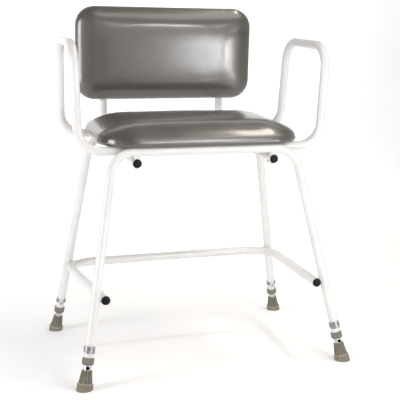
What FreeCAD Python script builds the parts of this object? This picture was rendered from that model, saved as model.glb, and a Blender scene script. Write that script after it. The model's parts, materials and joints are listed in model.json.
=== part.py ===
"""Shower stool: height-adjustable tubular frame with a padded seat, a padded back and two arms.

Millimetres, +Z up, X to the sitter's left-right, -Y in front. The floor is z = 0 and the
origin is the middle of the overall footprint. The seat, rails, back and arms are drawn in a
seat frame that tips forward about the front cross bar: its own Y runs back along the seat
and its own Z stands square to it.
"""
import FreeCAD, Part
import math
import os

V = FreeCAD.Vector
TINY = 1e-6

# ---- driving dimensions -------------------------------------------------------------
TUBE_R = 11.1               # frame tube, 22.2 outside diameter
WALL = 1.2
BORE_R = TUBE_R - WALL

CENTRE_SHIFT = -21.41       # moves the feet so that the footprint is centred on the origin
FRONT_FOOT = (332.0, -244.0 + CENTRE_SHIFT)     # half span and Y where the leg axis meets the floor
REAR_FOOT = (340.3, 244.0 + CENTRE_SHIFT)
FRONT_BAR = (233.5, -146.5 + CENTRE_SHIFT, 542.5)   # corner half span, Y, Z of the front cross bar
FRAME_BEND_R = 62.0

SEAT_TILT = 6.0             # degrees, seat and arms slope down to the front
REAR_BAR_S = 275.0          # rear cross bar, distance behind the front one along the seat
REAR_CORNER_HALF = 240.4

RAIL_X = 176.5              # seat rails, which turn up into the back uprights
RAIL_DROP = 26.0            # rail axis below the cross bars' axes
RAIL_FRONT_S = -9.5
UPRIGHT_S = 448.5
UPRIGHT_TOP = 300.0
RAIL_BEND_R = 70.0
PLUG_STEM = 14.0
RAIL_PLUG_STEM = 5.5        # stops short of the front bolts, which pass close to the rails' ends

ARM_FRONT_S = 24.4          # lower ends of the arm loops, side by side with the cross bars
ARM_REAR_S = REAR_BAR_S + 24.4
ARM_FRONT_TOP_S = 25.4
ARM_REAR_TOP_S = 279.0
ARM_FRONT_X = 314.0          # uprights at the level of the cross bars
ARM_REAR_X = 318.5
ARM_TOP_X = 321.5
ARM_TOP = 252.5             # armrest above the cross bars' axes
ARM_INNER_X = 148.0
ARM_BEND_R = 60.0

STRETCHER_Z = 201.0
STRETCHER_CORNER = (310.8, 216.8 + CENTRE_SHIFT)
STRETCHER_FRONT_HALF = 271.7
STRETCHER_FRONT_Y = -213.5 + CENTRE_SHIFT
STRETCHER_BEND_R = 76.0
WELD_R = 6.5
WELD_DEPTH = 5.0            # how far the weld metal reaches into either tube

PAD_GAP = 0.2               # between the boards and the tubes they are bolted to
PAD_BASE = TUBE_R + PAD_GAP     # underside of seat board above the cross bars' axes
SEAT_W = 520.0
SEAT_FRONT_S = -13.0
SEAT_REAR_S = 327.0
SEAT_CORNER_R = 92.0
SEAT_THICK = 52.0
SEAT_ROLL = (88.0, 40.0)    # how far the rounded-over edge reaches inwards and down
BOARD = 12.0
BOARD_INSET = 7.0
SKIN = 1.2

BACK_W = 510.0
BACK_H = 254.0
BACK_MID = 206.0            # height of the back pad's middle above the cross bars' axes
BACK_CORNER_R = 54.0
BACK_THICK = 50.0
BACK_ROLL = (49.0, 36.0)
BACK_BASE = UPRIGHT_S - TUBE_R - PAD_GAP
BACK_BOLT_RISE = 75.0

BOLT_R = 3.0
BOLT_HOLE_R = 3.3
HEAD_R = 5.6
HEAD_TALL = 2.6
SOCKET_R = 2.3
SOCKET_DEPTH = 1.5
WASHER_R = 6.5
WASHER_THICK = 0.9
SADDLE_HALF = 7.5           # rail saddles: half width across the rail
SADDLE_REACH = 8.0          # and half length along it
SADDLE_LOW = 8.0            # above the rail's axis
SADDLE_TALL = 10.4
BACK_SADDLE_R = 8.0
BACK_SADDLE_THICK = 3.0
NUT_FLANGE_R = 9.0
NUT_FLANGE_THICK = 1.4
NUT_BARREL_R = BOLT_R + 1.1
NUT_BARREL = 9.0
NUT_ROOM = 0.3

# distances up a leg's axis from the floor
MOUTH = 61.0                # open end of the outer tube
COLLAR_LOW = 57.5
COLLAR_HIGH = 74.5
COLLAR_R = 14.1
COLLAR_CHAMFER = 3.0
PIN_AT = 89.0
CLIP_LOW = 85.0
CLIP_HIGH = 101.0
LEG_R = 9.525               # inner leg tube, 19.05 outside diameter
LEG_BORE_R = LEG_R - 1.5
LEG_LOW = 12.0
LEG_TOP = 245.0
HOLE_PITCH = 19.05
HOLES_BELOW = 2
HOLES_ABOVE = 6
FERRULE_TOP = 46.0
FERRULE_RING = 15.0
FERRULE_R = 19.3
FERRULE_WAIST = 16.6        # radii of the fluted cone, low and high
FERRULE_NECK = 12.4
FLUTES = 12
FLUTE_R = 2.2
FLUTE_SET = 0.5             # how far outside the cone a flute's centre line runs
TREAD_RINGS = (6.0, 11.0, 16.0)
TREAD_HALF = 1.0
TREAD_DEPTH = 1.2
PIN_R = 3.6
PIN_HOLE_R = 4.0
PIN_HEAD = (0.7, 1.3)       # how far the pin's head spreads and stands out
PIN_TIP = 1.6               # past the outer tube's far side
CLIP_GAP = 0.35
CLIP_WALL = 1.8
CLIP_MOUTH_HALF = 6.0
CLIP_EAR_FROM = 7.0         # from here towards the mouth the band's lower edge rises
CLIP_EAR_RISE = (3.0, 9.0)  # at the tube's centre plane, and at the ears' ends
SLIDE_GAP = 0.35            # round an inner leg in its collar
FAR = 40.0                  # longer than anything a cutter has to pass through

SEAT_PLACE = FreeCAD.Placement(
    V(0, FRONT_BAR[1], FRONT_BAR[2]), FreeCAD.Rotation(V(1, 0, 0), SEAT_TILT))
SIDES = (("left", -1), ("right", 1))


def save(name, shape):
    """Check one sub-part and write it."""
    solids = shape.Solids
    shape = solids[0] if len(solids) == 1 else Part.makeCompound(solids)
    if not shape.isValid() or any(not s.isClosed() or s.Volume <= 0 for s in solids):
        raise ValueError("bad solid in " + name)
    shape.exportStep("parts/%s.step" % name)
    box = shape.BoundBox
    print("%-28s %2d solid %9.0f mm3  z %.1f..%.1f" % (name, len(solids), shape.Volume, box.ZMin, box.ZMax))


def seated(shape):
    """Move a shape drawn in the seat frame to its place."""
    moved = shape.copy()
    moved.Placement = SEAT_PLACE.multiply(moved.Placement)
    return moved


def mirrored(point, side):
    return V(point.x * side, point.y, point.z)


def bent_path(points, radius):
    """A wire of straight runs joined by tangent arcs of one radius."""
    edges = []
    at = points[0]
    for before, corner, after in zip(points, points[1:], points[2:]):
        back = (before - corner).normalize()
        ahead = (after - corner).normalize()
        half = back.getAngle(ahead) / 2
        reach = radius / math.tan(half)
        centre = corner + (back + ahead).normalize() * (radius / math.sin(half))
        start = corner + back * reach
        end = corner + ahead * reach
        middle = centre + (corner - centre).normalize() * radius
        edges.append(Part.LineSegment(at, start).toShape())
        edges.append(Part.Arc(start, middle, end).toShape())
        at = end
    edges.append(Part.LineSegment(at, points[-1]).toShape())
    return Part.Wire(edges)


def rod(points, bend, radius):
    """A solid round bar along a bent path."""
    path = bent_path(points, bend)
    ring = Part.Wire([Part.Circle(points[0], points[1] - points[0], radius).toShape()])
    return path.makePipeShell([ring], True, False)


def tube(points, bend):
    return rod(points, bend, TUBE_R).cut(rod(points, bend, BORE_R))


def cylinder(start, end, radius):
    return Part.makeCylinder(radius, (end - start).Length, start, end - start)


def drum(radius, low, high, inner=0.0):
    """A disc or ring about Z between two heights."""
    body = Part.makeCylinder(radius, high - low, V(0, 0, low))
    if inner:
        body = body.cut(Part.makeCylinder(inner, high - low + 2, V(0, 0, low - 1)))
    return body


def turned(profile):
    """Revolve (radius, height) points about Z."""
    loop = [V(r, 0, z) for r, z in profile]
    face = Part.Face(Part.makePolygon(loop + loop[:1]))
    return face.revolve(V(0, 0, 0), V(0, 0, 1), 360)


def placed(shape, origin, up, outward):
    """Stand a shape drawn about Z on an axis, with its own X towards outward."""
    z = V(up).normalize()
    x = (outward - z * outward.dot(z)).normalize()
    y = z.cross(x)
    matrix = FreeCAD.Matrix(
        x.x, y.x, z.x, origin.x,
        x.y, y.y, z.y, origin.y,
        x.z, y.z, z.z, origin.z,
        0, 0, 0, 1)
    moved = shape.copy()
    moved.Placement = FreeCAD.Placement(matrix).multiply(moved.Placement)
    return moved


# ---- legs: where each one stands and which way it leans ---------------------------------
REAR_BAR = (
    REAR_CORNER_HALF,
    FRONT_BAR[1] + REAR_BAR_S * math.cos(math.radians(SEAT_TILT)),
    FRONT_BAR[2] + REAR_BAR_S * math.sin(math.radians(SEAT_TILT)),
)


class Leg:
    """One splayed leg: foot on the floor, axis up to its frame corner, and its clip's side."""

    def __init__(self, name, side, foot, corner, facing):
        self.name = name
        self.side = side
        self.foot = V(side * foot[0], foot[1], 0)
        self.corner = V(side * corner[0], corner[1], corner[2])
        self.up = (self.corner - self.foot).normalize()
        self.facing = V(0, facing, 0)

    def at(self, distance):
        return self.foot + self.up * distance

    def stand(self, shape):
        return placed(shape, self.foot, self.up, self.facing)


FRONT_LEGS = [Leg("front_" + word, side, FRONT_FOOT, FRONT_BAR, -1) for word, side in SIDES]
REAR_LEGS = [Leg("rear_" + word, side, REAR_FOOT, REAR_BAR, 1) for word, side in SIDES]
LEGS = FRONT_LEGS + REAR_LEGS


def frame_points(legs):
    left, right = legs
    return [left.at(MOUTH), left.corner, right.corner, right.at(MOUTH)]


def pin_hole(leg, radius):
    """The clip pin's hole, drawn about the leg's axis."""
    hole = cylinder(V(-FAR, 0, PIN_AT), V(FAR, 0, PIN_AT), radius)
    return leg.stand(hole)


def seat_bolt_places():
    """Where rails cross the bars and the arms' lower ends, in the seat frame."""
    stations = (0.0, ARM_FRONT_S, REAR_BAR_S, ARM_REAR_S)
    return [(side * RAIL_X, s) for _, side in SIDES for s in stations]


def seat_bolt_holes(radius):
    return seated(Part.makeCompound([
        cylinder(V(x, s, -RAIL_DROP - FAR), V(x, s, FAR), radius) for x, s in seat_bolt_places()]))


def leg_frame(legs):
    """Inverted U of tube: two splayed legs and the cross bar under the seat."""
    body = tube(frame_points(legs), FRAME_BEND_R)
    for leg in legs:
        body = body.cut(pin_hole(leg, PIN_HOLE_R))
    return body.cut(seat_bolt_holes(BOLT_HOLE_R))


# ---- lower stretcher ----------------------------------------------------------------------
def stretcher_points():
    front = V(STRETCHER_FRONT_HALF, STRETCHER_FRONT_Y, STRETCHER_Z)
    corner = V(STRETCHER_CORNER[0], STRETCHER_CORNER[1], STRETCHER_Z)
    return [mirrored(front, -1), mirrored(corner, -1), corner, front]


def weld(leg, outer, legs):
    """Weld metal that fills the narrow gap where the stretcher touches a leg."""
    gap, pairs, _ = outer.distToShape(cylinder(leg.at(MOUTH), leg.at(2 * STRETCHER_Z), TUBE_R))
    on_bar, on_leg = pairs[0]
    way = (on_leg - on_bar).normalize()
    bead = cylinder(on_bar - way * WELD_DEPTH, on_bar + way * (gap + WELD_DEPTH), WELD_R)
    return bead.cut(rod(frame_points(legs), FRAME_BEND_R, TUBE_R))


def stretcher():
    points = stretcher_points()
    outer = rod(points, STRETCHER_BEND_R, TUBE_R)
    body = outer
    for legs in (FRONT_LEGS, REAR_LEGS):
        for leg in legs:
            body = body.fuse(weld(leg, outer, legs))
    return body.cut(rod(points, STRETCHER_BEND_R, BORE_R)).removeSplitter()


# ---- tube end plugs -----------------------------------------------------------------------
def end_plug(depth):
    """Domed push-in plug, drawn about Z with its rim on z = 0 and its stem below."""
    rim = TUBE_R - 0.3
    stem = BORE_R - 0.15
    lead = 0.2 * depth
    seat = 0.02
    return turned([
        (0, -depth), (stem - 0.3 * lead, -depth), (stem, lead - depth), (stem, seat), (rim, seat),
        (rim, 1.6), (rim - 0.7, 2.4), (rim - 3.5, 3.3), (rim - 7, 3.9), (0, 4.1)])


def plug_at(tip, before, depth=PLUG_STEM):
    """A plug in the end of a tube whose last straight run goes from before to tip."""
    outward = tip - before
    aside = V(0, 0, 1).cross(outward) if abs(outward.z) < 0.9 * outward.Length else V(1, 0, 0)
    return placed(end_plug(depth), tip, outward, aside)


# ---- seat rails that turn up into the back uprights, in the seat frame ----------------------
def rail_points(side):
    x = side * RAIL_X
    return [V(x, RAIL_FRONT_S, -RAIL_DROP), V(x, UPRIGHT_S, -RAIL_DROP), V(x, UPRIGHT_S, UPRIGHT_TOP)]


def back_bolt_places():
    rises = (-BACK_BOLT_RISE, BACK_BOLT_RISE)
    return [(side * RAIL_X, BACK_MID + rise) for _, side in SIDES for rise in rises]


def back_bolt_holes(radius):
    return seated(Part.makeCompound([
        cylinder(V(x, UPRIGHT_S - FAR, z), V(x, UPRIGHT_S + FAR, z), radius) for x, z in back_bolt_places()]))


def rail(side):
    body = seated(tube(rail_points(side), RAIL_BEND_R))
    return body.cut(seat_bolt_holes(BOLT_HOLE_R)).cut(back_bolt_holes(BOLT_HOLE_R))


# ---- arms ------------------------------------------------------------------------------------
def arm_points(side):
    """One loop: in under the seat, up, back along the armrest, down and in under the seat."""
    loop = [
        V(ARM_INNER_X, ARM_FRONT_S, 0),
        V(ARM_FRONT_X, ARM_FRONT_S, 0),
        V(ARM_TOP_X, ARM_FRONT_TOP_S, ARM_TOP),
        V(ARM_TOP_X, ARM_REAR_TOP_S, ARM_TOP),
        V(ARM_REAR_X, ARM_REAR_S, 0),
        V(ARM_INNER_X, ARM_REAR_S, 0),
    ]
    return [mirrored(p, side) for p in loop]


def arm(side):
    return seated(tube(arm_points(side), ARM_BEND_R)).cut(seat_bolt_holes(BOLT_HOLE_R))


# ---- padded boards ---------------------------------------------------------------------------
def slab(width, depth, corner, low, high, edge=0.0):
    """Rounded-corner plate about Z, its top edge rounded over when edge is given."""
    plate = Part.makeBox(width, depth, high - low, V(-width / 2, -depth / 2, low))
    body = plate.makeFillet(corner, [e for e in plate.Edges if abs(e.tangentAt(e.FirstParameter).z) > 0.9])
    if edge:
        rim = [e for e in body.Edges if all(v.Z > high - TINY for v in e.Vertexes)]
        body = body.makeFillet(edge, rim)
    return body


def crowned(width, depth, corner, low, high, roll):
    """Rounded-corner plate whose top edge rolls over as a quarter ellipse."""
    inwards, down = roll
    squash = FreeCAD.Matrix()
    squash.scale(1, 1, down / inwards)
    tall = slab(width, depth, corner, low * inwards / down, high * inwards / down, inwards)
    return tall.transformGeometry(squash)


def t_nut():
    """Flanged nut pressed into the top of a board."""
    flange = drum(NUT_FLANGE_R, BOARD, BOARD + NUT_FLANGE_THICK)
    barrel = drum(NUT_BARREL_R, BOARD - NUT_BARREL, BOARD)
    return flange.fuse(barrel).cut(drum(BOLT_R + 0.05, 0, BOARD + FAR)).removeSplitter()


def pad(width, depth, corner, thick, roll, place, bolts):
    """Board, foam, cover and nuts of one pad, drawn about Z with the board's underside on z = 0."""
    outer = crowned(width, depth, corner, 0, thick, roll)
    less = (roll[0] - SKIN, roll[1] - SKIN)
    inner = crowned(width - 2 * SKIN, depth - 2 * SKIN, corner - SKIN, -SKIN, thick - SKIN, less)
    cover = outer.cut(inner)
    board = slab(width - 2 * BOARD_INSET, depth - 2 * BOARD_INSET, corner - BOARD_INSET, 0, BOARD)
    foam = inner.common(slab(width, depth, corner, 0, thick)).cut(board)
    nuts = []
    bores = []
    for x, y in bolts:
        spot = V(x, y, 0)
        nuts.append(t_nut().translated(spot))
        bores.append(drum(NUT_BARREL_R + 0.1, -1, BOARD).translated(spot))
        room = drum(NUT_FLANGE_R + NUT_ROOM, BOARD - 1, BOARD + NUT_FLANGE_THICK + NUT_ROOM)
        foam = foam.cut(room.translated(spot))
    board = board.cut(Part.makeCompound(bores))
    parts = (board, foam, cover, Part.makeCompound(nuts))
    return [seated(place(p)) for p in parts]


SEAT_MID_S = (SEAT_FRONT_S + SEAT_REAR_S) / 2


def on_seat(shape):
    """Lay a pad on the cross bars."""
    moved = shape.copy()
    lift = FreeCAD.Placement(V(0, SEAT_MID_S, PAD_BASE), FreeCAD.Rotation())
    moved.Placement = lift.multiply(moved.Placement)
    return moved


def on_back(shape):
    """Stand a pad up in front of the uprights, its padded side to the front."""
    turn = FreeCAD.Placement(V(0, BACK_BASE, BACK_MID), FreeCAD.Rotation(V(1, 0, 0), 90))
    moved = shape.copy()
    moved.Placement = turn.multiply(moved.Placement)
    return moved


# ---- fasteners -------------------------------------------------------------------------------
def hexagon(radius, low, high):
    corners = [math.radians(60 * k) for k in range(7)]
    loop = Part.makePolygon([V(radius * math.cos(a), radius * math.sin(a), low) for a in corners])
    return Part.Face(loop).extrude(V(0, 0, high - low))


def button_bolt(length):
    """Bolt about Z: seat face on z = 0, shank up, low domed head with a hexagon socket below."""
    head = turned([
        (0, -HEAD_TALL), (0.5 * HEAD_R, -HEAD_TALL), (0.82 * HEAD_R, -0.7 * HEAD_TALL),
        (0.96 * HEAD_R, -0.33 * HEAD_TALL), (HEAD_R, 0), (0, 0)])
    socket = hexagon(SOCKET_R, -HEAD_TALL - 1, -HEAD_TALL + SOCKET_DEPTH)
    return head.fuse(drum(BOLT_R, 0, length)).cut(socket).removeSplitter()


def seat_fasteners():
    """Bolts up through rail, saddle and bar into the seat board, with washers and saddles."""
    low = -RAIL_DROP - TUBE_R - WASHER_THICK
    bolts = []
    washers = []
    saddles = []
    for x, s in seat_bolt_places():
        foot = V(x, s, low)
        bolts.append(button_bolt(PAD_BASE + BOARD - 1 - low).translated(foot))
        washers.append(drum(WASHER_R, 0, WASHER_THICK, BOLT_R + 0.2).translated(foot))
        start = V(x - SADDLE_HALF, s - SADDLE_REACH, -RAIL_DROP + SADDLE_LOW)
        saddles.append(Part.makeBox(2 * SADDLE_HALF, 2 * SADDLE_REACH, SADDLE_TALL, start))
    saddles = seated(Part.makeCompound(saddles))
    for _, side in SIDES:
        saddles = saddles.cut(seated(rod(rail_points(side), RAIL_BEND_R, TUBE_R)))
        saddles = saddles.cut(seated(rod(arm_points(side), ARM_BEND_R, TUBE_R)))
    for legs in (FRONT_LEGS, REAR_LEGS):
        saddles = saddles.cut(rod(frame_points(legs), FRAME_BEND_R, TUBE_R))
    saddles = saddles.cut(seat_bolt_holes(BOLT_HOLE_R))
    return seated(Part.makeCompound(bolts)), seated(Part.makeCompound(washers)), saddles


def back_fasteners():
    """Bolts forward through the uprights into the back board, on curved washers."""
    forward = V(0, -1, 0)
    bolts = []
    saddles = []
    for x, z in back_bolt_places():
        seat = V(x, UPRIGHT_S + TUBE_R + BACK_SADDLE_THICK, z)
        bolt = button_bolt(2 * TUBE_R + BACK_SADDLE_THICK + BOARD - 1)
        bolts.append(placed(bolt, seat, forward, V(1, 0, 0)))
        block = drum(BACK_SADDLE_R, 0, BACK_SADDLE_THICK + 4, BOLT_HOLE_R)
        upright = cylinder(V(x, UPRIGHT_S, z - FAR), V(x, UPRIGHT_S, z + FAR), TUBE_R)
        saddles.append(placed(block, seat, forward, V(1, 0, 0)).cut(upright))
    return seated(Part.makeCompound(bolts)), seated(Part.makeCompound(saddles))


# ---- adjustable feet, each drawn about Z with the floor end of the leg's axis at z = 0 --------
def collar():
    """Bush on the outer tube's mouth that guides the inner tube."""
    inner = LEG_R + SLIDE_GAP
    socket = TUBE_R + 0.03
    return turned([
        (inner, COLLAR_LOW), (COLLAR_R - COLLAR_CHAMFER, COLLAR_LOW), (COLLAR_R, COLLAR_LOW + COLLAR_CHAMFER),
        (COLLAR_R, COLLAR_HIGH - 0.8), (COLLAR_R - 0.8, COLLAR_HIGH), (socket, COLLAR_HIGH),
        (socket, MOUTH), (inner, MOUTH)])


def leg_extension():
    """Inner leg tube, drilled right through at every height setting and in one wall below them."""
    body = drum(LEG_R, LEG_LOW, LEG_TOP, LEG_BORE_R)
    for step in range(-HOLES_BELOW, HOLES_ABOVE + 1):
        height = PIN_AT + step * HOLE_PITCH
        far_side = -FAR if step >= 0 else 0
        body = body.cut(cylinder(V(far_side, 0, height), V(FAR, 0, height), PIN_HOLE_R))
    return body


def ferrule(leg):
    """Fluted rubber foot, cut flat where it stands on the floor."""
    body = turned([
        (0, -FERRULE_RING), (FERRULE_R, -FERRULE_RING), (FERRULE_R, FERRULE_RING - 1.5),
        (FERRULE_R - 1.5, FERRULE_RING), (FERRULE_WAIST, FERRULE_RING + 0.4),
        (FERRULE_NECK, FERRULE_TOP - 1), (FERRULE_NECK - 0.8, FERRULE_TOP), (0, FERRULE_TOP)])
    body = body.cut(drum(LEG_R + 0.05, LEG_LOW - 2, FERRULE_TOP + 1))
    low = V(FERRULE_WAIST + FLUTE_SET, 0, FERRULE_RING + 2)
    high = V(FERRULE_NECK + FLUTE_SET, 0, FERRULE_TOP - 2.5)
    for k in range(FLUTES):
        groove = cylinder(low, high, FLUTE_R)
        groove.rotate(V(0, 0, 0), V(0, 0, 1), 360.0 * (k + 0.5) / FLUTES)
        body = body.cut(groove)
    floor = Part.makeBox(2 * FAR, 2 * FAR, FAR, leg.foot + V(-FAR, -FAR, -FAR))
    rings = [drum(r + TREAD_HALF, -1, TREAD_DEPTH, r - TREAD_HALF).translated(leg.foot) for r in TREAD_RINGS]
    return leg.stand(body).cut(floor).cut(Part.makeCompound(rings))


def ferrule_washer():
    """Steel disc inside the ferrule, under the inner tube's cut end."""
    return drum(LEG_R - 0.2, LEG_LOW - 2, LEG_LOW - 0.02, 3.0)


def clip_spring():
    """Spring band round the outer tube, closed on its own +X side, its ears cut away below."""
    inner = TUBE_R + CLIP_GAP
    outer = inner + CLIP_WALL
    wide = outer + CLIP_WALL
    band = drum(outer, CLIP_LOW, CLIP_HIGH, inner)
    middle, end = CLIP_EAR_RISE
    profile = [(wide, CLIP_LOW), (CLIP_EAR_FROM, CLIP_LOW), (0, CLIP_LOW + middle),
               (-outer, CLIP_LOW + end), (-outer, CLIP_HIGH - 1), (-CLIP_EAR_FROM, CLIP_HIGH),
               (wide, CLIP_HIGH), (wide, CLIP_LOW)]
    side = Part.Face(Part.makePolygon([V(x, -wide, z) for x, z in profile])).extrude(V(0, 2 * wide, 0))
    mouth = Part.makeBox(outer, 2 * CLIP_MOUTH_HALF, FAR, V(-wide, -CLIP_MOUTH_HALF, CLIP_LOW - 1))
    rivet = cylinder(V(0, 0, PIN_AT), V(FAR, 0, PIN_AT), PIN_R + 0.02)
    return band.common(side).cut(mouth).cut(rivet)


def clip_pin():
    """Steel pin through both tubes, its domed head outside the band."""
    outer = TUBE_R + CLIP_GAP + CLIP_WALL
    tip = -TUBE_R - PIN_TIP
    spread, proud = PIN_HEAD
    pin = turned([
        (0, tip), (PIN_R - 1, tip), (PIN_R, tip + 1), (PIN_R, outer), (PIN_R + spread, outer),
        (PIN_R + 0.8 * spread, outer + 0.5 * proud), (0.7 * PIN_R, outer + 0.9 * proud), (0, outer + proud)])
    return placed(pin, V(0, 0, PIN_AT), V(1, 0, 0), V(0, 0, 1))


def build():
    os.makedirs("parts", exist_ok=True)
    save("front_leg_frame", leg_frame(FRONT_LEGS))
    save("rear_leg_frame", leg_frame(REAR_LEGS))
    save("lower_stretcher", stretcher())
    for word, side in SIDES:
        first, corner = [mirrored(p, side) for p in reversed(stretcher_points())][:2]
        save("stretcher_plug_" + word, plug_at(first, corner))
        save("seat_rail_" + word, rail(side))
        low, bend, top = rail_points(side)
        save("rail_front_plug_" + word, seated(plug_at(low, bend, RAIL_PLUG_STEM)))
        save("rail_top_plug_" + word, seated(plug_at(top, bend)))
        save("arm_loop_" + word, arm(side))
        ends = arm_points(side)
        plugs = [plug_at(ends[0], ends[1]), plug_at(ends[-1], ends[-2])]
        save("arm_end_plugs_" + word, seated(Part.makeCompound(plugs)))

    seat_bolts = [(x, s - SEAT_MID_S) for x, s in seat_bolt_places()]
    back_bolts = [(x, z - BACK_MID) for x, z in back_bolt_places()]
    names = ("board", "foam", "cover", "t_nuts")
    seat_deep = SEAT_REAR_S - SEAT_FRONT_S
    seat = pad(SEAT_W, seat_deep, SEAT_CORNER_R, SEAT_THICK, SEAT_ROLL, on_seat, seat_bolts)
    back = pad(BACK_W, BACK_H, BACK_CORNER_R, BACK_THICK, BACK_ROLL, on_back, back_bolts)
    for name, shape in zip(names, seat):
        save("seat_" + name, shape)
    for name, shape in zip(names, back):
        save("back_" + name, shape)

    bolts, washers, saddles = seat_fasteners()
    save("seat_bolts", bolts)
    save("seat_bolt_washers", washers)
    save("rail_saddles", saddles)
    bolts, saddles = back_fasteners()
    save("back_bolts", bolts)
    save("back_bolt_saddles", saddles)

    for leg in LEGS:
        save("leg_collar_" + leg.name, leg.stand(collar()))
        save("leg_extension_" + leg.name, leg.stand(leg_extension()))
        save("ferrule_" + leg.name, ferrule(leg))
        save("ferrule_washer_" + leg.name, leg.stand(ferrule_washer()))
        save("clip_spring_" + leg.name, leg.stand(clip_spring()))
        save("clip_pin_" + leg.name, leg.stand(clip_pin()))


build()
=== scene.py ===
"""Looks of the shower stool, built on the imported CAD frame.

Metres, +Z up, -Y in front. The white tubes, feet and fasteners are the CAD parts with better
materials. The seat and back cushions are upholstered forms in vinyl, inflated as cloth over
their boards. Staples, the turned-under hems and the weld beads are added in mesh.
"""

import json
import math

import bmesh
import bpy
import numpy as np
from mathutils import Matrix, Vector, noise


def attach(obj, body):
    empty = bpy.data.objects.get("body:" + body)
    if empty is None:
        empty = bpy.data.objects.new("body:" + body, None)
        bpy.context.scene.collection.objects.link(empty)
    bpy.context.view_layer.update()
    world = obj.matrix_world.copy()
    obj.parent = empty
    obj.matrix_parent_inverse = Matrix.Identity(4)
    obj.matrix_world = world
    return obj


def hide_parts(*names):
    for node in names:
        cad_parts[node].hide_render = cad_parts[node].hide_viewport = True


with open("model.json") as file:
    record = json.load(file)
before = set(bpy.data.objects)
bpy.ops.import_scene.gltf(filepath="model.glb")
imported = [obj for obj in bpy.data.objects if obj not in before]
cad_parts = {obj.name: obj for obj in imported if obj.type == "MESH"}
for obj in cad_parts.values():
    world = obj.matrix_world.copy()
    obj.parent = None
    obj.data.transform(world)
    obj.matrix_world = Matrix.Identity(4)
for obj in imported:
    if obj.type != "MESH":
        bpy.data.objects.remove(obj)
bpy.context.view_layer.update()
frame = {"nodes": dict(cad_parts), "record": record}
NODES = frame["nodes"]
RECORD = frame["record"]

TILT = math.radians(6.0)        # seat, rails and arms slope down to the front by this much
CORNERS = ("front_left", "front_right", "rear_left", "rear_right")
RING_TOP = 0.015                # along a leg, from the floor to the top of its ferrule's ring
CONE_SPAN = (0.0154, 0.045)     # along a leg, where its ferrule's fluted cone starts and ends
CONE_R = (0.0166, 0.0124)       # the cone's radius at those two places
INNER_BORE_R = 0.0088           # painted shade inside the inner legs, up to the drilled wall's middle
UPRIGHT_X = 0.1765              # the back's uprights, to each side of the middle

PER_2_MM = 500.0                # turns metres into steps of 2 mm
STAIN_AND_SHADE = 0.62                  # share of its colour kept by a stained patch, and by the painted shade in a ferrule's flutes
PORE = 0.6                      # the same for pores in rubber
RING_HIGHLIGHT = 1.8                    # how much paler the painted highlight round the top of a ferrule's ring is
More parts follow.
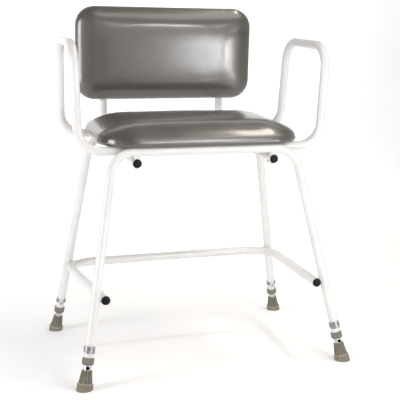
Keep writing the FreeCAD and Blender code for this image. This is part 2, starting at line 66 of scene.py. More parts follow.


# ---- node materials -----------------------------------------------------------------------
class Look:
    """A node material under construction."""

    def __init__(self, name, roughness, metallic=0.0, **extra):
        self.material = bpy.data.materials.new(name)
        self.material.use_nodes = True
        self.tree = self.material.node_tree
        self.shader = self.tree.nodes["Principled BSDF"]
        self.set(self.shader, {"Roughness": roughness, "Metallic": metallic, **extra})
        self.coords = self.tree.nodes.new("ShaderNodeTexCoord").outputs["Object"]

    def set(self, node, values):
        """Link a node's inputs to sockets, or set them to constants."""
        for key, value in values.items():
            socket = node.inputs[key]
            if isinstance(value, bpy.types.NodeSocket):
                self.tree.links.new(value, socket)
            else:
                socket.default_value = value
        return node

    def add(self, kind, values=None, **props):
        """A new node with its inputs and properties set."""
        node = self.tree.nodes.new(kind)
        for key, value in props.items():
            setattr(node, key, value)
        return self.set(node, values or {})

    def stretched(self, scale, coords=None):
        """Coordinates scaled along each axis."""
        values = {"Vector": coords or self.coords, "Scale": scale}
        return self.add("ShaderNodeMapping", values).outputs["Vector"]

    def along(self, axis, scale):
        """Coordinates turned so that their Z runs along an axis, then scaled."""
        turn = Vector(axis).rotation_difference(Vector((0, 0, 1))).to_euler()
        turned = self.add("ShaderNodeMapping", {"Vector": self.coords, "Rotation": turn})
        return self.stretched(scale, turned.outputs["Vector"])

    def noise(self, scale, detail=3.0, roughness=0.55, coords=None):
        """Cloudy noise, 0 to 1."""
        values = {"Vector": coords or self.coords, "Scale": scale, "Detail": detail, "Roughness": roughness}
        return self.add("ShaderNodeTexNoise", values).outputs["Fac"]

    def cells(self, scale, feature="F1", coords=None):
        """Distances in a pattern of irregular cells."""
        values = {"Vector": coords or self.coords, "Scale": scale}
        return self.add("ShaderNodeTexVoronoi", values, feature=feature).outputs["Distance"]

    def ramp(self, fac, low, high, at=(0.35, 0.65)):
        """A blend from one grey or colour to another between two places of a factor."""
        node = self.add("ShaderNodeValToRGB", {"Fac": fac})
        for stop, place, colour in zip(node.color_ramp.elements, at, (low, high)):
            stop.position = place
            stop.color = (*colour, 1) if isinstance(colour, tuple) else (colour, colour, colour, 1)
        return node.outputs["Color"]

    def maths(self, operation, first, second):
        """One arithmetic step."""
        return self.add("ShaderNodeMath", {0: first, 1: second}, operation=operation).outputs[0]

    def vector_maths(self, operation, *values, output=0):
        """One vector step."""
        node = self.add("ShaderNodeVectorMath", dict(enumerate(values)), operation=operation)
        return node.outputs[output]

    def mixed(self, fac, first, second):
        """A mix of two colours or vectors."""
        node = self.add("ShaderNodeMix", data_type="RGBA", blend_type="MIX")
        sockets = {s.identifier: s for s in node.inputs}
        for key, value in (("Factor_Float", fac), ("A_Color", first), ("B_Color", second)):
            if isinstance(value, bpy.types.NodeSocket):
                self.tree.links.new(value, sockets[key])
            else:
                sockets[key].default_value = (*value, 1) if isinstance(value, tuple) else value
        return next(s for s in node.outputs if s.identifier == "Result_Color")

    def from_axis(self, foot, axis):
        """How far a point lies from an axis through foot, and how far along it."""
        off = self.vector_maths("SUBTRACT", self.coords, foot)
        across = self.vector_maths("CROSS_PRODUCT", off, axis)
        reach = self.vector_maths("LENGTH", across, output="Value")
        along = self.vector_maths("DOT_PRODUCT", off, axis, output="Value")
        return reach, along

    def bump(self, *layers):
        """Bump layers of (height, distance in metres), stacked."""
        normal = None
        for height, distance in layers:
            values = {"Height": height, "Distance": distance, "Strength": 1.0}
            if normal:
                values["Normal"] = normal
            normal = self.add("ShaderNodeBump", values).outputs["Normal"]
        self.set(self.shader, {"Normal": normal})

    def finish(self, colour, roughness=None):
        """Connect colour and roughness, and hand over the material."""
        self.set(self.shader, {"Base Color": colour})
        if roughness is not None:
            self.set(self.shader, {"Roughness": roughness})
        return self.material


def shade(colour, share):
    """A colour made darker or paler."""
    return tuple(share * c for c in colour)


def powder_coat():
    """White powder coat on the tubes, with orange peel and a few darker specks."""
    look = Look("white_powder_coat", 0.3, **{"Coat Weight": 0.25, "Coat Roughness": 0.12})
    peel = look.noise(900, 2.0)
    drift = look.noise(14, 3.0)
    specks = look.cells(240)
    colour = look.ramp(drift, (0.665, 0.660, 0.645), (0.705, 0.702, 0.690))
    colour = look.mixed(look.ramp(specks, 1.0, 0.0, (0.02, 0.05)), colour, (0.62, 0.60, 0.55))
    look.bump((peel, 0.00003), (look.noise(120, 2.0), 0.00003))
    return look.finish(colour, look.ramp(look.noise(60), 0.28, 0.38))


def vinyl():
    """Glossy taupe vinyl with a fine pebbled grain, and painted shade in the creases between the pebbles.
    """
    look = Look("taupe_vinyl", 0.4, **{
        "Coat Weight": 1.0, "Coat Roughness": 0.2, "Coat IOR": 1.55, "Specular IOR Level": 0.6})
    waver = look.add("ShaderNodeTexNoise", {"Vector": look.coords, "Scale": 210.0, "Detail": 2.0})
    coords = look.mixed(0.012, look.coords, waver.outputs["Color"])
    pebbles = look.cells(900, "SMOOTH_F1", coords)
    crease_relief_and_shade = look.ramp(look.cells(620, "DISTANCE_TO_EDGE", coords), 0.0, 1.0, (0.0, 0.12))
    colour = look.ramp(look.noise(9, 3.0), (0.067, 0.056, 0.047), (0.082, 0.070, 0.060))
    colour = look.mixed(look.ramp(look.noise(160, 3.0), 0.0, 0.3), colour, (0.056, 0.047, 0.041))
    # painted shade: darker along the creases between the pebbles; the same mask also bumps the creases in
    colour = look.mixed(crease_relief_and_shade, (0.045, 0.038, 0.033), colour)
    look.bump((look.noise(22, 1.0), 0.0001), (pebbles, -0.00004), (crease_relief_and_shade, 0.00003))
    return look.finish(colour, look.ramp(look.noise(45, 4.0), 0.36, 0.46))


def black_plastic():
    """Moulded polyethylene of the tube plugs, a little scuffed."""
    look = Look("black_polyethylene", 0.5, **{"Specular IOR Level": 0.15})
    texture = look.noise(1500, 2.0)
    colour = look.ramp(look.noise(90), (0.004, 0.004, 0.005), (0.008, 0.008, 0.009))
    scuffs = look.ramp(look.noise(380, 4.0, 0.7), 0.0, 1.0, (0.66, 0.74))
    colour = look.mixed(scuffs, colour, (0.02, 0.02, 0.02))
    look.bump((texture, 0.00005), (look.noise(300), 0.00004))
    return look.finish(colour, look.ramp(look.noise(200), 0.34, 0.52))


def rubber(name, dark, light, leg=None):
    """Moulded rubber or nylon.

    leg, a foot and an axis, adds painted shade in a fluted ferrule's flutes and a painted highlight round
    the top of its ring.
    """
    look = Look(name, 0.75, **{"Specular IOR Level": 0.35})
    bloom = look.noise(130, 5.0, 0.65)
    fine = look.noise(1300, 3.0)
    colour = look.ramp(bloom, dark, light)
    pores = look.ramp(look.cells(1100), 0.0, 1.0, (0.05, 0.18))
    colour = look.mixed(pores, shade(dark, PORE), colour)
    if leg:
        reach, along = look.from_axis(*leg)
        cone = look.add("ShaderNodeMapRange", {
            0: along, 1: CONE_SPAN[0], 2: CONE_SPAN[1], 3: CONE_R[0], 4: CONE_R[1]}).outputs[0]
        deep = look.maths("SUBTRACT", cone, reach)
        # painted shade: darker the deeper a point lies in a flute, above the ring
        flute_shade = look.ramp(look.maths("MULTIPLY", deep, PER_2_MM), 0.0, 1.0, (0.2, 1.0))
        above = look.maths("GREATER_THAN", along, RING_TOP + 0.001)
        colour = look.mixed(look.maths("MULTIPLY", flute_shade, above), colour, shade(dark, STAIN_AND_SHADE))
        # painted highlight: a paler line round the top edge of the ring
        off_edge = look.maths("ABSOLUTE", look.maths("SUBTRACT", along, RING_TOP - 0.0007), 0.0)
        ring_highlight = look.ramp(look.maths("MULTIPLY", off_edge, PER_2_MM), 0.75, 0.0, (0.25, 0.6))
        colour = look.mixed(ring_highlight, colour, shade(light, RING_HIGHLIGHT))
    look.bump((fine, 0.00008), (bloom, 0.00015))
    return look.finish(colour, look.ramp(fine, 0.66, 0.88))


def zinc(name, axis, dark, light, rough, bore=None):
    """Plated or drawn steel whose drawing lines run along an axis.

    bore is a foot on the axis and a radius: inside that radius the colour is painted near-black shade, and
    the steel is matt.
    """
    look = Look(name, sum(rough) / 2, 1.0)
    lines = look.noise(260, 4.0, 0.7, look.along(axis, (1.0, 1.0, 0.02)))
    spangle = look.noise(170, 4.0, 0.6)
    colour = look.ramp(spangle, dark, light)
    stain = look.ramp(look.noise(55, 5.0, 0.7), 0.0, 0.3, (0.6, 0.75))
    colour = look.mixed(stain, colour, shade(dark, STAIN_AND_SHADE))
    finish = look.mixed(0.5, look.ramp(lines, *rough), look.ramp(spangle, *rough))
    if bore:
        foot, radius = bore
        reach, _ = look.from_axis(foot, axis)
        # painted shade: near black inside the bore
        inside = look.maths("LESS_THAN", reach, radius)
        colour = look.mixed(inside, colour, (0.008, 0.008, 0.009))
        finish = look.mixed(inside, finish, (0.9, 0.9, 0.9))
    look.bump((lines, 0.00003), (spangle, 0.00002))
    return look.finish(colour, finish)


def plywood():
    """Sealed plywood of the boards, its figure and open pores running across the object."""
    look = Look("sealed_plywood", 0.55, **{"Coat Weight": 0.1, "Coat Roughness": 0.3})
    figure = look.noise(7, 6.0, 0.6, look.stretched((1.0, 9.0, 9.0)))
    pores = look.noise(90, 3.0, 0.6, look.stretched((1.0, 14.0, 14.0)))
    colour = look.ramp(figure, (0.40, 0.27, 0.155), (0.60, 0.44, 0.28), (0.3, 0.7))
    colour = look.mixed(look.ramp(pores, 0.5, 0.0, (0.3, 0.5)), colour, (0.24, 0.15, 0.085))
    look.bump((pores, 0.00018), (figure, 0.0002))
    return look.finish(colour, look.ramp(figure, 0.48, 0.66))


def cloth_foam():
    """Open-cell upholstery foam."""
    look = Look("open_cell_foam", 0.95)
    cell = look.cells(500)
    look.bump((cell, -0.0006))
    return look.finish(look.ramp(cell, (0.45, 0.40, 0.27), (0.74, 0.70, 0.56), (0.1, 0.5)))


def studio_floor():
    """White paper, lit a little from beneath."""
    look = Look("studio_paper", 0.8, **{
        "Specular IOR Level": 0.1, "Emission Color": (1.0, 1.0, 1.0, 1.0), "Emission Strength": 0.14})
    look.bump((look.noise(350, 3.0), 0.00005))
    return look.finish(look.ramp(look.noise(1.2, 2.0), (0.92, 0.92, 0.915), (0.94, 0.94, 0.935)))


def wear(node, material):
    """Give one CAD node its material."""
    mesh = NODES[node].data
    mesh.materials.clear()
    mesh.materials.append(material)


def leg_axes():
    """Each leg's foot and its upward direction, from the record's mounts and joints."""
    feet = {m["name"][len("floor_"):]: Vector(m["pos_m"]) for m in RECORD["mounts"]}
    axes = {j["name"][len("extend_"):]: -Vector(j["axis"]).normalized()
            for j in RECORD["behaviour"]["joints"] if j["name"].startswith("extend_")}
    return {corner: (feet[corner], axes[corner]) for corner in CORNERS}


LEGS = leg_axes()
WHITE = powder_coat()
VINYL = vinyl()
BLACK = black_plastic()
COLLAR = rubber("collar_rubber", (0.150, 0.142, 0.115), (0.200, 0.190, 0.158))
BOARD = plywood()
FOAM = cloth_foam()
BOLT = zinc("bright_zinc", (0, 0, 1), (0.50, 0.50, 0.48), (0.66, 0.66, 0.63), (0.24, 0.42))
SADDLE = rubber("natural_nylon", (0.66, 0.65, 0.61), (0.76, 0.75, 0.72))


def dress_cad_nodes():
    """Give every CAD node its material. What has a grain or an inside has its own on each leg."""
    looks = {"plug_black": BLACK, "board_plywood": BOARD, "foam": FOAM, "vinyl": VINYL,
             "frame_coating": WHITE, "saddle_plastic": SADDLE, "zinc_steel": BOLT,
             "collar_rubber": COLLAR}
    for part in RECORD["subparts"]:
        material = looks.get(part["material_slot"])
        if material:
            wear(part["node"], material)
    for corner, (foot, up) in LEGS.items():
        wear("ferrule_" + corner, rubber(
            "ferrule_rubber_" + corner, (0.165, 0.150, 0.114), (0.222, 0.205, 0.162), (foot, up)))
        wear("leg_extension_" + corner, zinc(
            "drawn_tube_" + corner, up, (0.47, 0.49, 0.50), (0.66, 0.68, 0.69), (0.16, 0.34),
            (foot, INNER_BORE_R)))
        wear("clip_spring_" + corner, zinc(
            "spring_steel_" + corner, up, (0.23, 0.22, 0.24), (0.33, 0.32, 0.34), (0.34, 0.5)))
        wear("clip_pin_" + corner, zinc(
            "oxide_pin_" + corner, up, (0.34, 0.33, 0.33), (0.46, 0.45, 0.45), (0.4, 0.6)))


dress_cad_nodes()


# ---- mesh helpers -------------------------------------------------------------------------
def bridge(mesh, below, above):
    """Faces between two closed loops of the same number of points."""
    for k, vert in enumerate(below):
        after = (k + 1) % len(below)
        mesh.faces.new((vert, below[after], above[after], above[k]))


def as_object(name, mesh_builder, material):
    """A smooth-shaded object from a bmesh, which is used up."""
    data = bpy.data.meshes.new(name)
    bmesh.ops.recalc_face_normals(mesh_builder, faces=mesh_builder.faces[:])
    mesh_builder.to_mesh(data)
    mesh_builder.free()
    piece = bpy.data.objects.new(name, data)
    bpy.context.scene.collection.objects.link(piece)
    data.materials.append(material)
    data.polygons.foreach_set("use_smooth", [True] * len(data.polygons))
    return piece


def apply_modifier(piece, kind, **settings):
    """Replace a piece's mesh with the result of one modifier."""
    modifier = piece.modifiers.new(kind, kind)
    for key, value in settings.items():
        setattr(modifier, key, value)
    graph = bpy.context.evaluated_depsgraph_get()
    fresh = bpy.data.meshes.new_from_object(piece.evaluated_get(graph), depsgraph=graph)
    piece.modifiers.clear()
    old = piece.data
    piece.data = fresh
    bpy.data.meshes.remove(old)
    fresh.name = piece.name


def smoothstep(low, high, value):
    """0 below low, 1 above high, and a smooth rise between."""
    t = min(max((value - low) / (high - low), 0.0), 1.0)
    return t * t * (3 - 2 * t)


def outline(half_x, half_y, corner, steps=14):
    """Points round a rounded rectangle: equal steps on each corner, and as many on each side."""
    points = []
    for quarter, (sx, sy) in enumerate(((1, 1), (-1, 1), (-1, -1), (1, -1))):
        cx, cy = sx * (half_x - corner), sy * (half_y - corner)
        for k in range(steps):
            angle = math.pi / 2 * (quarter + k / steps)
            points.append(Vector((cx + corner * math.cos(angle), cy + corner * math.sin(angle))))
        last = math.pi / 2 * (quarter + 1)
        end = Vector((cx + corner * math.cos(last), cy + corner * math.sin(last)))
        following = Vector((-end.x, end.y)) if quarter % 2 == 0 else Vector((end.x, -end.y))
        points += [end.lerp(following, k / steps) for k in range(steps)]
    return points


def edge_inset(x, y, half_x, half_y, corner):
    """How far a point lies inside a rounded rectangle."""
    qx, qy = abs(x) - (half_x - corner), abs(y) - (half_y - corner)
    outside = math.hypot(max(qx, 0), max(qy, 0)) + min(max(qx, qy), 0)
    return corner - outside


# ---- cushions -----------------------------------------------------------------------------
# A cushion is drawn about Z in its own frame, with its board's outer face at z = 0.
SEAT_TURN = Matrix.Rotation(TILT, 4, "X")
BACK_TURN = Matrix.Rotation(TILT, 4, "X") @ Matrix.Rotation(math.pi / 2, 4, "X")
SEAT_CORNER = 0.092
BACK_CORNER = 0.054

EDGE_ROUNDING = 0.004           # at the foot of the upright edge
EDGE_STEPS = 4
ROLL_STEPS = 24
START_SMALLER = 0.002           # the cover's width and depth fall this short before it is blown up
VOXEL = 0.005
SOFT_FROM, SOFT_TO = 0.55, 0.85         # of the height, where the face's smoothing sets in
SOFT_ROUNDS = 40

TACKED_BELOW = 0.013            # the cover is held to its board up to this height
FOLDS = 0.06                    # share of the cloth's own folds that the foam lets show
EVEN_ROUNDS, FOLD_ROUNDS = 80, 3
FRAMES = 20
CLOTH = {"vertex_group_mass": "tacked", "quality": 6, "mass": 0.3, "tension_stiffness": 25,
         "compression_stiffness": 25, "bending_stiffness": 4, "use_pressure": True,
         "uniform_pressure_force": 4.0}

GROOVE_DEPTH, GROOVE_Z, GROOVE_W = 0.0008, 0.0135, 0.003        # round the edge, where it is tacked
PUCKER_DEPTH, PUCKER_HEIGHT = 0.0005, 0.016                     # gathers at the corners' foot
PUCKER_COUNT = 26               # in a full turn
CORNER_FADE = 0.02
SLOW_DRIFT = (0.0004, 12)       # height and frequency of the vinyl's unevenness
FINE_DRIFT = (0.00003, 55)

HEM = 0.026                     # width of vinyl turned under the board
HEM_PROUD = 0.00012
HEM_WAVER = 0.0022              # the hem's cut edge wanders by this much
HEM_LIFT = 0.003                # what lies inside the hem is lifted into the board by this much
UNDERSIDE_Z = 0.0028            # points below this belong to the underside


def pad_place(node, turn):
    """Where a pad drawn about Z goes: its middle on the board's outer face, and its size."""
    to_local = turn.inverted()
    points = [to_local @ v.co for v in NODES[node].data.vertices]
    low = Vector([min(p[i] for p in points) for i in range(3)])
    high = Vector([max(p[i] for p in points) for i in range(3)])
    middle = Vector(((low.x + high.x) / 2, (low.y + high.y) / 2, low.z))
    return turn @ Matrix.Translation(middle), high - low


def lens(size, corner, roll, sag, crown):
    """A closed upholstered form about Z: flat below, a short upright edge, a rolled and crowned top."""
    half_x, half_y, top = size.x / 2, size.y / 2, size.z - crown
    side = top - sag

    def crowned(x, y):
        return crown * ((1 - (x / half_x) ** 2) * (1 - (y / half_y) ** 2))

    rings = []
    for angle in (0, 30, 60, 90):
        turn = math.radians(angle)
        rings.append((EDGE_ROUNDING * (1 - math.sin(turn)), EDGE_ROUNDING * (1 - math.cos(turn))))
    for k in range(1, EDGE_STEPS):
        rings.append((0.0, EDGE_ROUNDING + (side - EDGE_ROUNDING) * k / EDGE_STEPS))
    for k in range(ROLL_STEPS + 1):
        turn = math.pi / 2 * k / ROLL_STEPS
        rings.append((roll * (1 - math.cos(turn)), side + sag * math.sin(turn)))
    mesh = bmesh.new()
    loops = []
    for inset, height in rings:
        points = outline(half_x - inset, half_y - inset, corner - inset)
        on_top = height > side
        loops.append([mesh.verts.new((p.x, p.y, height + (crowned(p.x, p.y) if on_top else 0.0)))
                      for p in points])
    for below, above in zip(loops, loops[1:]):
        bridge(mesh, below, above)
    mesh.faces.new(list(reversed(loops[0])))
    inner = loops[-1]
    for shrink in (0.8, 0.6, 0.4, 0.2):
        spots = [(vert.co.x * shrink, vert.co.y * shrink) for vert in loops[-1]]
        loop = [mesh.verts.new((x, y, top + crowned(x, y))) for x, y in spots]
        bridge(mesh, inner, loop)
        inner = loop
    mesh.faces.new(inner)
    return mesh


def spread(mesh, values, rounds):
    """Average a value held at each point with its neighbours' a number of times."""
    ends = np.empty(2 * len(mesh.edges), dtype=np.int64)
    mesh.edges.foreach_get("vertices", ends)
    first, second = ends[0::2], ends[1::2]
    size = len(values)
    neighbours = np.bincount(ends, minlength=size)
    for _ in range(rounds):
        total = np.bincount(first, values[second], size) + np.bincount(second, values[first], size)
        values = 0.5 * values + 0.5 * total / neighbours
    return values


def inflate(piece, cap):
    """Blow a cover up as cloth over its board.

    The foam behind a tight cover evens the cloth out: each point's outward travel is held
    under cap, spread over its neighbours, and keeps only a share of the cloth's own folds.
    """
    mesh = piece.data
    count = len(mesh.vertices)
    rest = np.empty(3 * count)
    mesh.vertices.foreach_get("co", rest)
    rest = rest.reshape(count, 3)
    normals = np.array([n.vector[:] for n in mesh.vertex_normals])
    pins = piece.vertex_groups.new(name="tacked")
    pins.add([int(k) for k in np.flatnonzero(rest[:, 2] < TACKED_BELOW)], 1.0, "REPLACE")
    cloth = piece.modifiers.new("Cloth", "CLOTH")
    for key, value in CLOTH.items():
        setattr(cloth.settings, key, value)
    cloth.settings.effector_weights.gravity = 0
    cloth.point_cache.frame_start = 1
    cloth.point_cache.frame_end = FRAMES
    scene = bpy.context.scene
    for step in range(1, FRAMES + 1):
        scene.frame_set(step)
    graph = bpy.context.evaluated_depsgraph_get()
    blown = np.empty(3 * count)
    piece.evaluated_get(graph).data.vertices.foreach_get("co", blown)
    piece.modifiers.clear()
    piece.vertex_groups.clear()
    scene.frame_set(1)
    lift = np.einsum("ij,ij->i", blown.reshape(count, 3) - rest, normals)
    lift = cap * np.tanh(lift / cap)
    even = spread(mesh, lift, EVEN_ROUNDS)
    lift = even + FOLDS * (spread(mesh, lift, FOLD_ROUNDS) - even)
    mesh.vertices.foreach_set("co", (rest + normals * lift[:, None]).ravel())
    mesh.update()


def soften_face(piece):
    """Even out the turn from the rolled edge into the face, and leave the edge as it is."""
    top = max(v.co.z for v in piece.data.vertices)
    face = piece.vertex_groups.new(name="face")
    for vert in piece.data.vertices:
        face.add([vert.index], smoothstep(SOFT_FROM * top, SOFT_TO * top, vert.co.z), "REPLACE")
    apply_modifier(piece, "SMOOTH", factor=0.5, iterations=SOFT_ROUNDS, vertex_group="face")
    piece.vertex_groups.clear()


def scale_to(mesh, half_x, half_y, height):
    """Scale a cushion so that it reaches just as far as given, to each side and upwards."""
    highest = max(v.co.z for v in mesh.vertices)
    wide = max(abs(v.co.x) for v in mesh.vertices)
    deep = max(abs(v.co.y) for v in mesh.vertices)
    fit = Vector((half_x / wide, half_y / deep, height / highest))
    for vert in mesh.vertices:
        vert.co = Vector((vert.co.x * fit.x, vert.co.y * fit.y, vert.co.z * fit.z))
    mesh.update()


def add_unevenness(mesh, half_x, half_y, corner, seed):
    """A shallow groove where the cover is tacked, gathers at the corners, and uneven vinyl."""
    normals = [n.vector.copy() for n in mesh.vertex_normals]
    for vert, normal in zip(mesh.vertices, normals):
        co = vert.co
        x_over, y_over = abs(co.x) - (half_x - corner), abs(co.y) - (half_y - corner)
        around = math.atan2(max(y_over, 0), max(x_over, 0))
        at_corner = smoothstep(0, CORNER_FADE, min(x_over, y_over))
        upright = smoothstep(0.15, 0.7, math.hypot(normal.x, normal.y))
        groove = -GROOVE_DEPTH * math.exp(-((co.z - GROOVE_Z) / GROOVE_W) ** 2)
        gathers = PUCKER_DEPTH * at_corner * math.cos(around * PUCKER_COUNT + seed)
        pucker = gathers * math.exp(-(co.z / PUCKER_HEIGHT) ** 2)
        drift = SLOW_DRIFT[0] * noise.noise(co * SLOW_DRIFT[1] + Vector((seed, 0, 0)))
        drift += FINE_DRIFT[0] * noise.noise(co * FINE_DRIFT[1] + Vector((0, seed, 0)))
        covered = smoothstep(-0.5, 0.2, normal.z + 0.7)
        vert.co = co + normal * (upright * (groove + pucker) + drift * covered)


def tuck_under(mesh, half_x, half_y, corner):
    """Flatten the underside to a hem just proud of the board, and lift the rest inside the board."""
    for vert in mesh.vertices:
        co = vert.co
        if co.z > UNDERSIDE_Z:
            continue
        inset = edge_inset(co.x, co.y, half_x, half_y, corner)
        wavy = HEM + HEM_WAVER * noise.noise(Vector((co.x * 30, co.y * 30, 3.0)))
        lifted = smoothstep(wavy - 0.001, wavy + 0.003, inset)
        flat = smoothstep(0.0, 0.007, inset)
        co.z = (1 - flat) * co.z + flat * ((1 - lifted) * -HEM_PROUD + lifted * HEM_LIFT)


def upholster(name, node, foam, turn, corner, roll, sag, crown, swell, seed, plump):
    """Build, inflate and detail one cushion in its own frame, then stand it in the object's.

    corner is the plan's corner radius; roll and sag say how far the edge rolls inwards and
    down; crown is the middle's rise, and swell the most that inflating adds. plump is how far
    the fabric stands out beyond the plain cover, to each side and upwards.
    """
    place, size = pad_place(node, turn)
    start = Vector((size.x - START_SMALLER, size.y - START_SMALLER, size.z - swell))
    piece = as_object(name, lens(start, corner, roll, sag - swell, crown), VINYL)
    apply_modifier(piece, "REMESH", mode="VOXEL", voxel_size=VOXEL, use_smooth_shade=True)
    inflate(piece, swell)
    apply_modifier(piece, "SUBSURF", levels=1, render_levels=1)
    apply_modifier(piece, "SMOOTH", factor=0.5, iterations=4)
    soften_face(piece)
    mesh = piece.data
    half_x, half_y = size.x / 2 + plump[0], size.y / 2 + plump[1]
    scale_to(mesh, half_x, half_y, size.z + plump[2])
    add_unevenness(mesh, half_x, half_y, corner, seed)
    tuck_under(mesh, half_x, half_y, corner)
    mesh.transform(place)
    mesh.update()
    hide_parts(node, foam)
    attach(piece, "frame")
    return place, size


SEAT_AT, SEAT_SIZE = upholster(
    "seat_cushion", "seat_cover", "seat_foam", SEAT_TURN, SEAT_CORNER, roll=0.086, sag=0.040,
    crown=0.003, swell=0.005, seed=1.7, plump=(0.003, 0.0, 0.0045))
BACK_AT, BACK_SIZE = upholster(
    "back_cushion", "back_cover", "back_foam", BACK_TURN, BACK_CORNER, roll=0.048, sag=0.036,
    crown=0.002, swell=0.004, seed=5.3, plump=(0.0045, 0.004, 0.0))


# ---- staples that hold the hems -----------------------------------------------------------
STAPLE_INSET = 0.017            # from the board's edge
STAPLE_SPACING = 0.03
STAPLE_HALF = 0.0048
STAPLE_LEG = 0.0018             # how far a leg shows before it is in the board
STAPLE_SUNK = 0.0002            # beyond the hem's face
CROWN_WIRE_R, LEG_WIRE_R = 0.00042, 0.0004
LEAN = 0.35                     # the most a staple leans from the edge's line, in radians
PAST_SEAT = 0.3                 # beyond the seat to either side
BAR_CLEAR, ARM_CLEAR, UPRIGHT_CLEAR = 0.0065, 0.010, 0.014      # to each side of a tube's middle
UNDER_BOARD_X = 0.25            # the arms' inner ends lie nearer the middle than this


def bar(mesh, start, end, radius, sides=8):
    """A round wire between two points, its ends closed and slightly domed."""
    axis = (end - start).normalized()
    aside = axis.orthogonal().normalized()
    other = axis.cross(aside)
    loops = []
    for along, size in ((-0.35, 0.6), (0.0, 1.0), (1.0, 1.0), (1.35, 0.6)):
        if along < 0:
            middle = start + axis * radius * along
        elif along > 1:
            middle = end + axis * radius * (along - 1)
        else:
            middle = start.lerp(end, along)
        angles = [2 * math.pi * k / sides for k in range(sides)]
        loops.append([
            mesh.verts.new(middle + (aside * math.cos(a) + other * math.sin(a)) * radius * size)
            for a in angles])
    for below, above in zip(loops, loops[1:]):
        bridge(mesh, below, above)
    mesh.faces.new(list(reversed(loops[0])))
    mesh.faces.new(loops[-1])


def staples(name, place, size, corner, clear_of):
    """Wire staples along a hem, left out wherever a tube runs close under the board."""
    builder = bmesh.new()
    ring = outline(size.x / 2 - STAPLE_INSET, size.y / 2 - STAPLE_INSET, corner - STAPLE_INSET, 9)
    walked = 0.0
    for k, here in enumerate(ring):
        after = ring[(k + 1) % len(ring)]
        step = (after - here).length
        while walked < step:
            spot = here.lerp(after, walked / step)
            walked += STAPLE_SPACING
            if any(low[0] < spot.x < high[0] and low[1] < spot.y < high[1] for low, high in clear_of):
                continue
            lean = LEAN * noise.noise(Vector((spot.x * 90, spot.y * 90, 1.0)))
            way = Matrix.Rotation(lean, 2) @ (after - here).normalized()
            half = Vector((way.x, way.y, 0)) * STAPLE_HALF
            centre = Vector((spot.x, spot.y, -HEM_PROUD - STAPLE_SUNK))
            bar(builder, centre - half, centre + half, CROWN_WIRE_R)
            for end in (centre - half, centre + half):
                bar(builder, end, end + Vector((0, 0, STAPLE_LEG)), LEG_WIRE_R)
        walked -= step
    piece = as_object(name, builder, BOLT)
    piece.data.transform(place)
    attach(piece, "frame")


def across_seat(middle, clear):
    """A strip right across the seat, as the low and high corners of an x, y box."""
    return (-PAST_SEAT, middle - clear), (PAST_SEAT, middle + clear)


def under_seat_tubes():
    """The two cross bars and the four inner ends of the arms lie right under the seat board."""
    back = SEAT_AT.inverted()
    keep_out = []
    for name in ("front_leg_frame", "rear_leg_frame"):
        points = [back @ v.co for v in NODES[name].data.vertices]
        high = max(p.z for p in points)
        ridge = [p.y for p in points if p.z > high - 0.0015]
        keep_out.append(across_seat((min(ridge) + max(ridge)) / 2, BAR_CLEAR))
    for name in ("arm_loop_left", "arm_loop_right"):
        inner = [back @ v.co for v in NODES[name].data.vertices]
        inner = [p for p in inner if abs(p.x) < UNDER_BOARD_X and p.z > -0.002]
        for group in ([p for p in inner if p.y < 0], [p for p in inner if p.y > 0]):
            keep_out.append(across_seat(sum(p.y for p in group) / len(group), ARM_CLEAR))
    return keep_out


def behind_back_tubes():
    """The two uprights, over the whole height of the back board."""
    return [((side * UPRIGHT_X - UPRIGHT_CLEAR, -1), (side * UPRIGHT_X + UPRIGHT_CLEAR, 1))
            for side in (-1, 1)]


staples("seat_staples", SEAT_AT, SEAT_SIZE, SEAT_CORNER, under_seat_tubes())
staples("back_staples", BACK_AT, BACK_SIZE, BACK_CORNER, behind_back_tubes())


# ---- weld beads where the stretcher meets the legs ----------------------------------------
BEAD_RING_R = 0.0078            # of the bead's centre line
BEAD_R, BEAD_RIPPLE, BEAD_UNEVEN = 0.0019, 0.0004, 0.0003
RIPPLES = 22
BEAD_LOOPS, BEAD_SIDES = 96, 10
CONTACT_POINTS = 40             # the stretcher's points nearest the leg, within CONTACT_BAND of each other
CONTACT_BAND = 0.0015


def weld_bead(up, foot, seed):
    """A rippled bead round the contact of the stretcher and one leg."""
    gaps = []
    for vert in NODES["lower_stretcher"].data.vertices:
        off = vert.co - foot
        gaps.append(((off - up * off.dot(up)).length, vert.co))
    near = sorted(gaps, key=lambda g: g[0])[:CONTACT_POINTS]
    near = [co for gap, co in near if gap < near[0][0] + CONTACT_BAND]
    middle = sum(near, Vector()) / len(near)
    off = middle - foot
    outward = (off - up * off.dot(up)).normalized()
    aside = up.cross(outward).normalized()
    builder = bmesh.new()
    angles = [2 * math.pi * s / BEAD_SIDES for s in range(BEAD_SIDES)]
    loops = []
    for k in range(BEAD_LOOPS):
        turn = 2 * math.pi * k / BEAD_LOOPS
        way = up * math.cos(turn) + aside * math.sin(turn)
        ripple = 0.5 + 0.5 * math.cos(turn * RIPPLES)
        uneven = noise.noise(Vector((turn * 2, seed, 0)))
        size = BEAD_R + BEAD_RIPPLE * ripple + BEAD_UNEVEN * uneven
        centre = middle + way * BEAD_RING_R
        loops.append([builder.verts.new(centre + (way * math.cos(a) + outward * math.sin(a)) * size)
                      for a in angles])
    for k, loop in enumerate(loops):
        bridge(builder, loop, loops[(k + 1) % BEAD_LOOPS])
    return builder


for number, corner_name in enumerate(CORNERS):
    base, upward = LEGS[corner_name]
    bead = as_object("weld_bead_" + corner_name, weld_bead(upward, base, float(number)), WHITE)
    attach(bead, "frame")


# ---- studio -------------------------------------------------------------------------------
FLOOR_XS = (-9.0, -3.0, 0.0, 3.0, 9.0)
FLOOR_YS = (-9.0, -2.0, 2.0, 3.2)       # the sweep starts at the last of these
SWEEP_R, SWEEP_STEPS = 1.5, 16
WALL_TOP = 2.6
SKY_HEIGHTS = (0.05, 0.5)       # sine of the elevation, between which the sky fades
SKY_STRENGTHS = (0.55, 0.25)

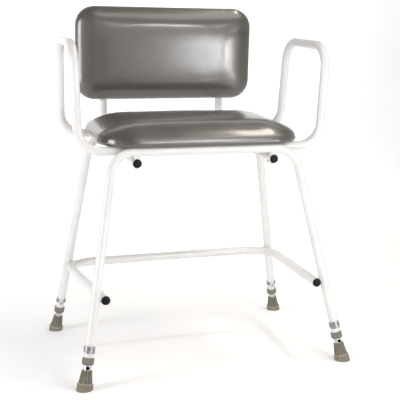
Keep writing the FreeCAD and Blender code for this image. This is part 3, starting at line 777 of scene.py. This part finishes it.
# name, place, point aimed at, width and height, watts, tint
LIGHTS = (
    ("high_front_right", (1.1, -1.15, 2.75), (0, 0, 0.6), (2.2, 1.2), 22, (1.0, 0.95, 0.88)),
    ("overhead", (1.12, 0.05, 3.0), (0, 0, 0.6), (1.25, 0.22), 17, (1.0, 0.93, 0.83)),
    ("left_window", (-2.45, -0.55, 0.9), (0, 0, 0.75), (0.9, 1.3), 38, (0.99, 0.96, 1.0)),
    ("low_front_0", (1.34, -1.98, 0.43), (0.1, 0.2, 0.8), (0.32, 0.32), 9.0, (1.0, 1.0, 1.0)),
    ("low_front_1", (1.02, -1.98, 0.43), (0.1, 0.2, 0.8), (0.32, 0.34), 8.5, (1.0, 1.0, 1.0)),
    ("low_front_2", (0.70, -1.98, 0.43), (0.1, 0.2, 0.8), (0.32, 0.40), 1.6, (1.0, 1.0, 1.0)),
    ("front_strip", (0.62, -2.1, 1.32), (0, 0.2, 0.85), (0.45, 0.26), 8, (1.0, 1.0, 1.0)),
    ("backdrop_wash", (0, 2.4, 3.2), (0, 4.6, 0.6), (5.0, 1.0), 100, (1.0, 1.0, 1.0)),
)

CAMERA_AZIMUTH, CAMERA_ELEVATION, CAMERA_ROLL = -16.96, 8.29, -0.37     # degrees
CAMERA_DISTANCE = 2.1325
CAMERA_TARGET = (0.02685, -0.02141, 0.39628)
CAMERA_LENS, CAMERA_SENSOR = 71.58, 36                                  # millimetres
CAMERA_REACH = 60


def studio():
    """A white floor that sweeps up behind the object, under a sky brighter near the horizon."""
    floor_mesh = bmesh.new()
    sweep = [math.pi / 2 * k / SWEEP_STEPS for k in range(1, SWEEP_STEPS + 1)]
    profile = [(y, 0.0) for y in FLOOR_YS]
    profile += [(FLOOR_YS[-1] + SWEEP_R * math.sin(a), SWEEP_R * (1 - math.cos(a))) for a in sweep]
    profile += [(FLOOR_YS[-1] + SWEEP_R, WALL_TOP)]
    rows = [[floor_mesh.verts.new((x, y, z)) for x in FLOOR_XS] for y, z in profile]
    for near, far in zip(rows, rows[1:]):
        for k in range(len(FLOOR_XS) - 1):
            floor_mesh.faces.new((near[k], near[k + 1], far[k + 1], far[k]))
    floor = as_object("studio_sweep", floor_mesh, studio_floor())

    world = bpy.data.worlds.new("studio_world")
    world.use_nodes = True
    tree = world.node_tree
    way = tree.nodes.new("ShaderNodeTexCoord")
    split = tree.nodes.new("ShaderNodeSeparateXYZ")
    fade = tree.nodes.new("ShaderNodeMapRange")
    for socket, value in zip(fade.inputs[1:5], SKY_HEIGHTS + SKY_STRENGTHS):
        socket.default_value = value
    tree.links.new(way.outputs["Generated"], split.inputs["Vector"])
    tree.links.new(split.outputs["Z"], fade.inputs["Value"])
    tree.links.new(fade.outputs["Result"], tree.nodes["Background"].inputs["Strength"])
    tree.nodes["Background"].inputs["Color"].default_value = (1.0, 1.0, 1.0, 1)
    bpy.context.scene.world = world
    bpy.context.scene.view_settings.view_transform = "Standard"


def softbox(name, at, aim, size, power, tint):
    """A rectangular area light that faces a point."""
    light = bpy.data.lights.new(name, "AREA")
    light.shape = "RECTANGLE"
    light.size, light.size_y = size
    light.energy = power
    light.color = tint
    lamp = bpy.data.objects.new(name, light)
    lamp.location = at
    lamp.rotation_euler = (Vector(aim) - Vector(at)).to_track_quat("-Z", "Y").to_euler()
    bpy.context.scene.collection.objects.link(lamp)


def camera():
    """A standing view from the front and a little to one side."""
    azimuth, elevation = math.radians(CAMERA_AZIMUTH), math.radians(CAMERA_ELEVATION)
    roll = math.radians(CAMERA_ROLL)
    back_way = Vector((math.sin(azimuth) * math.cos(elevation),
                       -math.cos(azimuth) * math.cos(elevation), math.sin(elevation)))
    right = (-back_way).cross(Vector((0, 0, 1))).normalized()
    up = right.cross(-back_way)
    level = right * math.cos(roll) + up * math.sin(roll)
    upright = -right * math.sin(roll) + up * math.cos(roll)
    data = bpy.data.cameras.new("front_view")
    data.lens = CAMERA_LENS
    data.sensor_width = CAMERA_SENSOR
    data.clip_end = CAMERA_REACH
    eye = bpy.data.objects.new("front_view", data)
    place = Matrix.Translation(Vector(CAMERA_TARGET) + back_way * CAMERA_DISTANCE)
    eye.matrix_world = place @ Matrix((level, upright, back_way)).transposed().to_4x4()
    bpy.context.scene.collection.objects.link(eye)
    bpy.context.scene.camera = eye


studio()
for row in LIGHTS:
    softbox(*row)
camera()
